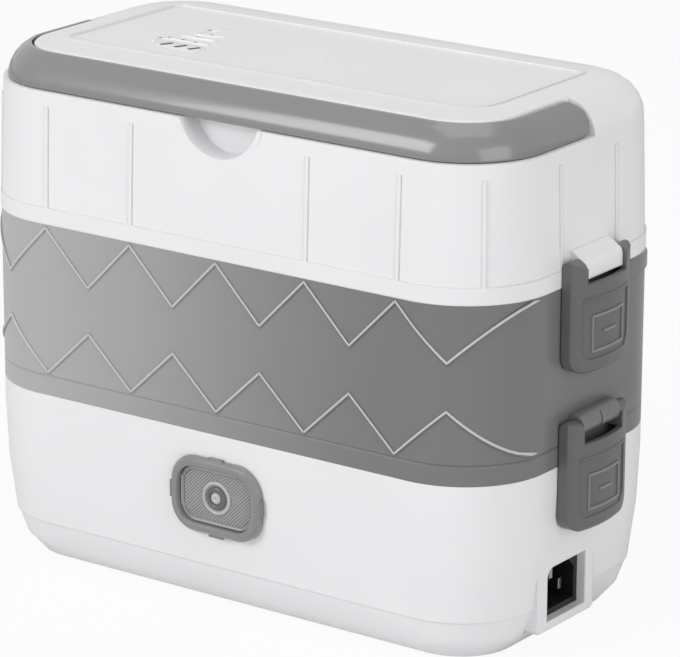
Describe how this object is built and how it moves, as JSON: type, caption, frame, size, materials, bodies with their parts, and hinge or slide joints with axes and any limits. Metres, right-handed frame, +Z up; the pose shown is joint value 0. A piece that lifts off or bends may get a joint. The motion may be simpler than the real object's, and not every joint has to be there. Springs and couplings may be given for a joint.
{
  "type": "electric lunch box",
  "caption": "Oblong electric lunch box: heated base with mains inlet and push switch, see-through steaming tier, lift-off lid with side latches and a swing-up handle set in the lid.",
  "frame": {"origin": "centre of the footprint on the surface it stands on", "axes": "+X to the inlet end, -Y to the switch side, +Z up"},
  "size_m": [0.2538, 0.1268, 0.1975],
  "materials": {
    "white_plastic": "satin gloss moulded polypropylene",
    "tier_grey": "see-through grey, glossy",
    "latch_grey": "satin dark grey",
    "grey_gloss": "glossy mid grey",
    "clear_lens": "clear, patterned",
    "black_plastic": "matt black",
    "silicone": "soft silicone",
    "stainless": "brushed stainless",
    "aluminium": "cast",
    "steel": "turned steel",
    "plated_brass": "nickel plated",
    "lamp": "diffused lamp"
  },
  "bodies": {
    "base": {"base_shell": "white_plastic", "base_pan": "white_plastic", "foot_pads": "silicone", "pan_screws": "steel", "heating_tank": "stainless", "heater_plate": "aluminium", "thermostat": "black_plastic", "thermal_fuse": "white_plastic", "inlet_socket": "black_plastic", "inlet_pins": "plated_brass", "switch_bezel": "grey_gloss", "switch_housing": "black_plastic", "indicator_lamp": "lamp"},
    "switch": {"switch_button": "clear_lens"},
    "lower_bowl_l": {"lower_bowl_left": "stainless"},
    "lower_bowl_r": {"lower_bowl_right": "stainless"},
    "tier": {"tier_shell": "tier_grey", "tier_seal": "silicone", "lower_latch_pins": "steel"},
    "lower_latch_l": {"lower_latch_left": "latch_grey"},
    "lower_latch_r": {"lower_latch_right": "latch_grey"},
    "upper_bowl_l": {"upper_bowl_left": "stainless"},
    "upper_bowl_r": {"upper_bowl_right": "stainless"},
    "lid": {"lid_shell": "white_plastic", "lid_seal": "silicone", "vent_valve": "silicone", "upper_latch_pins": "steel"},
    "upper_latch_l": {"upper_latch_left": "latch_grey"},
    "upper_latch_r": {"upper_latch_right": "latch_grey"},
    "grip": {"handle": "grey_gloss", "handle_pins": "steel"}
  },
  "joints": [
    {"name": "tier_lift", "type": "slide", "parent": "base", "child": "tier", "axis": [0, 0, 1], "range_m": [0, 0.1]},
    {"name": "lid_lift", "type": "slide", "parent": "tier", "child": "lid", "axis": [0, 0, 1], "range_m": [0, 0.1]},
    {"name": "handle_swing", "type": "hinge", "parent": "lid", "child": "grip", "pos_m": [0, -0.0015, 0.1908], "axis": [-1, 0, 0], "range_deg": [0, 90]},
    {"name": "upper_latch_right_swing", "type": "hinge", "parent": "lid", "child": "upper_latch_r", "pos_m": [0.1207, 0, 0.142], "axis": [0, -1, 0], "range_deg": [0, 110]},
    {"name": "upper_latch_left_swing", "type": "hinge", "parent": "lid", "child": "upper_latch_l", "pos_m": [-0.1207, 0, 0.142], "axis": [0, 1, 0], "range_deg": [0, 110]},
    {"name": "lower_latch_right_swing", "type": "hinge", "parent": "tier", "child": "lower_latch_r", "pos_m": [0.1207, 0, 0.0834], "axis": [0, -1, 0], "range_deg": [0, 110]},
    {"name": "lower_latch_left_swing", "type": "hinge", "parent": "tier", "child": "lower_latch_l", "pos_m": [-0.1207, 0, 0.0834], "axis": [0, 1, 0], "range_deg": [0, 110]},
    {"name": "lower_bowl_left_lift", "type": "slide", "parent": "base", "child": "lower_bowl_l", "axis": [0, 0, 1], "range_m": [0, 0.05]},
    {"name": "lower_bowl_right_lift", "type": "slide", "parent": "base", "child": "lower_bowl_r", "axis": [0, 0, 1], "range_m": [0, 0.05]},
    {"name": "upper_bowl_left_lift", "type": "slide", "parent": "tier", "child": "upper_bowl_l", "axis": [0, 0, 1], "range_m": [0, 0.05]},
    {"name": "upper_bowl_right_lift", "type": "slide", "parent": "tier", "child": "upper_bowl_r", "axis": [0, 0, 1], "range_m": [0, 0.05]},
    {"name": "switch_press", "type": "slide", "parent": "base", "child": "switch", "axis": [0, 1, 0], "range_m": [0, 0.0015], "stiffness_N_per_m": 600}
  ],
  "couplings": [
    {"joint": "upper_latch_left_swing", "follows": "lid_lift", "rad_per_m": 19.19},
    {"joint": "lower_latch_left_swing", "follows": "tier_lift", "rad_per_m": 19.19},
    {"joint": "lower_bowl_left_lift", "follows": "tier_lift", "ratio": 0.5},
    {"joint": "upper_bowl_left_lift", "follows": "lid_lift", "ratio": 0.5},
    {"joint": "upper_latch_right_swing", "follows": "lid_lift", "rad_per_m": 19.19},
    {"joint": "lower_latch_right_swing", "follows": "tier_lift", "rad_per_m": 19.19},
    {"joint": "lower_bowl_right_lift", "follows": "tier_lift", "ratio": 0.5},
    {"joint": "upper_bowl_right_lift", "follows": "lid_lift", "ratio": 0.5}
  ]
}
